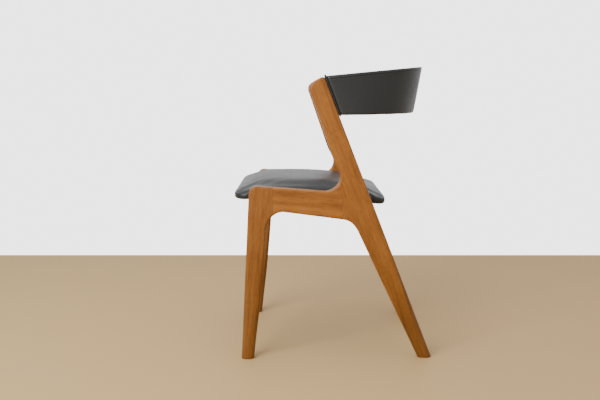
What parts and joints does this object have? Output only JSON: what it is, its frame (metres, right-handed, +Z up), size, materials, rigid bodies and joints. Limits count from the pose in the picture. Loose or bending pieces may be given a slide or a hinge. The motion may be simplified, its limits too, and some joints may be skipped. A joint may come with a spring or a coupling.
{
  "type": "dining chair",
  "caption": "Dining chair with raked oiled-wood side frames, a padded leather seat and a curved padded leather back rail that wraps round behind the sitter.",
  "frame": {"origin": "centre of the chair's outline on the floor, at the feet's underside", "axes": "+Z up, -Y towards the front of the seat, +X to the sitter's left"},
  "size_m": [0.4794, 0.4999, 0.7393],
  "materials": {
    "teak": "oiled teak, satin, grain along each member",
    "beech": "bare beech, hidden",
    "plywood": "bare moulded plywood, hidden",
    "seat_leather": "black leather, soft semi-matte sheen, light creases",
    "back_leather": "black leather, soft semi-matte sheen, stitched at the top edge",
    "piping": "black leather over cord",
    "foam": "cut foam, hidden",
    "lining": "black woven lining cloth",
    "steel": "plain zinc-coated wood screws"
  },
  "bodies": {
    "root": {"left_front_leg": "teak", "right_front_leg": "teak", "left_side_rail": "teak", "right_side_rail": "teak", "left_rear_post": "teak", "right_rear_post": "teak", "front_cross_rail": "beech", "rear_cross_rail": "beech", "left_front_corner_block": "beech", "right_front_corner_block": "beech", "left_rear_corner_block": "beech", "right_rear_corner_block": "beech", "left_front_rail_dowel_1": "beech", "right_front_rail_dowel_1": "beech", "left_front_rail_dowel_2": "beech", "right_front_rail_dowel_2": "beech", "left_rear_rail_dowel_1": "beech", "right_rear_rail_dowel_1": "beech", "left_rear_rail_dowel_2": "beech", "right_rear_rail_dowel_2": "beech", "left_back_dowel_1": "beech", "right_back_dowel_1": "beech", "left_back_dowel_2": "beech", "right_back_dowel_2": "beech", "left_back_end_block": "beech", "right_back_end_block": "beech", "left_front_side_screw": "steel", "right_front_side_screw": "steel", "left_front_cross_screw": "steel", "right_front_cross_screw": "steel", "left_front_seat_screw": "steel", "right_front_seat_screw": "steel", "left_rear_side_screw": "steel", "right_rear_side_screw": "steel", "left_rear_cross_screw": "steel", "right_rear_cross_screw": "steel", "left_rear_seat_screw": "steel", "right_rear_seat_screw": "steel", "left_back_screw_1": "steel", "right_back_screw_1": "steel", "left_back_screw_2": "steel", "right_back_screw_2": "steel", "seat_board": "plywood", "back_shell": "plywood", "seat_lining": "lining", "seat_foam": "foam", "back_foam": "foam", "seat_cover": "seat_leather", "back_cover": "back_leather", "left_back_welt": "piping", "right_back_welt": "piping"}
  },
  "joints": []
}
